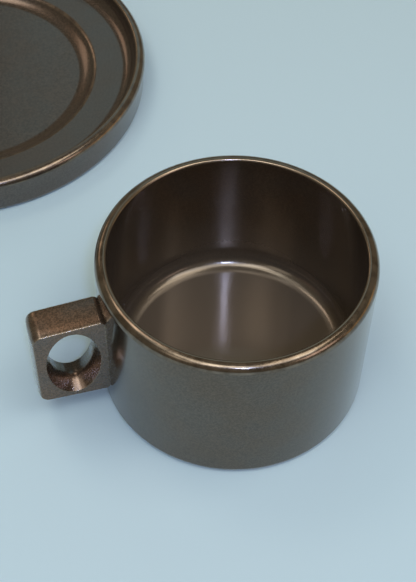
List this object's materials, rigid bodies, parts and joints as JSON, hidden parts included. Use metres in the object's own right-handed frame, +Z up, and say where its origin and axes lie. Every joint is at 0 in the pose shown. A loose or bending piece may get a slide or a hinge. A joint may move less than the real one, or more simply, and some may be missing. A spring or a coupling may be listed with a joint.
{
  "type": "cup with saucer",
  "caption": "Straight-sided stoneware cup with a block handle pierced by an oval finger hole, beside a tray-like saucer with a sunk well for the cup's foot.",
  "frame": {"origin": "middle of the ground that the set covers, on the table that both pieces stand on", "axes": "+Z up, the cup's handle points along -X, the saucer stands on the +Y side of the cup"},
  "size_m": [0.1842, 0.2842, 0.057],
  "materials": {
    "bronze_glaze": "satin bronze-black metallic glaze on stoneware, browner where it thins on edges"
  },
  "bodies": {
    "saucer": {"saucer": "bronze_glaze"},
    "cup": {"cup_body": "bronze_glaze", "cup_handle": "bronze_glaze"}
  },
  "joints": [
    {"name": "cup_lift", "type": "slide", "parent": "saucer", "child": "cup", "axis": [0, 0, 1], "range_m": [0, 0.12]}
  ]
}
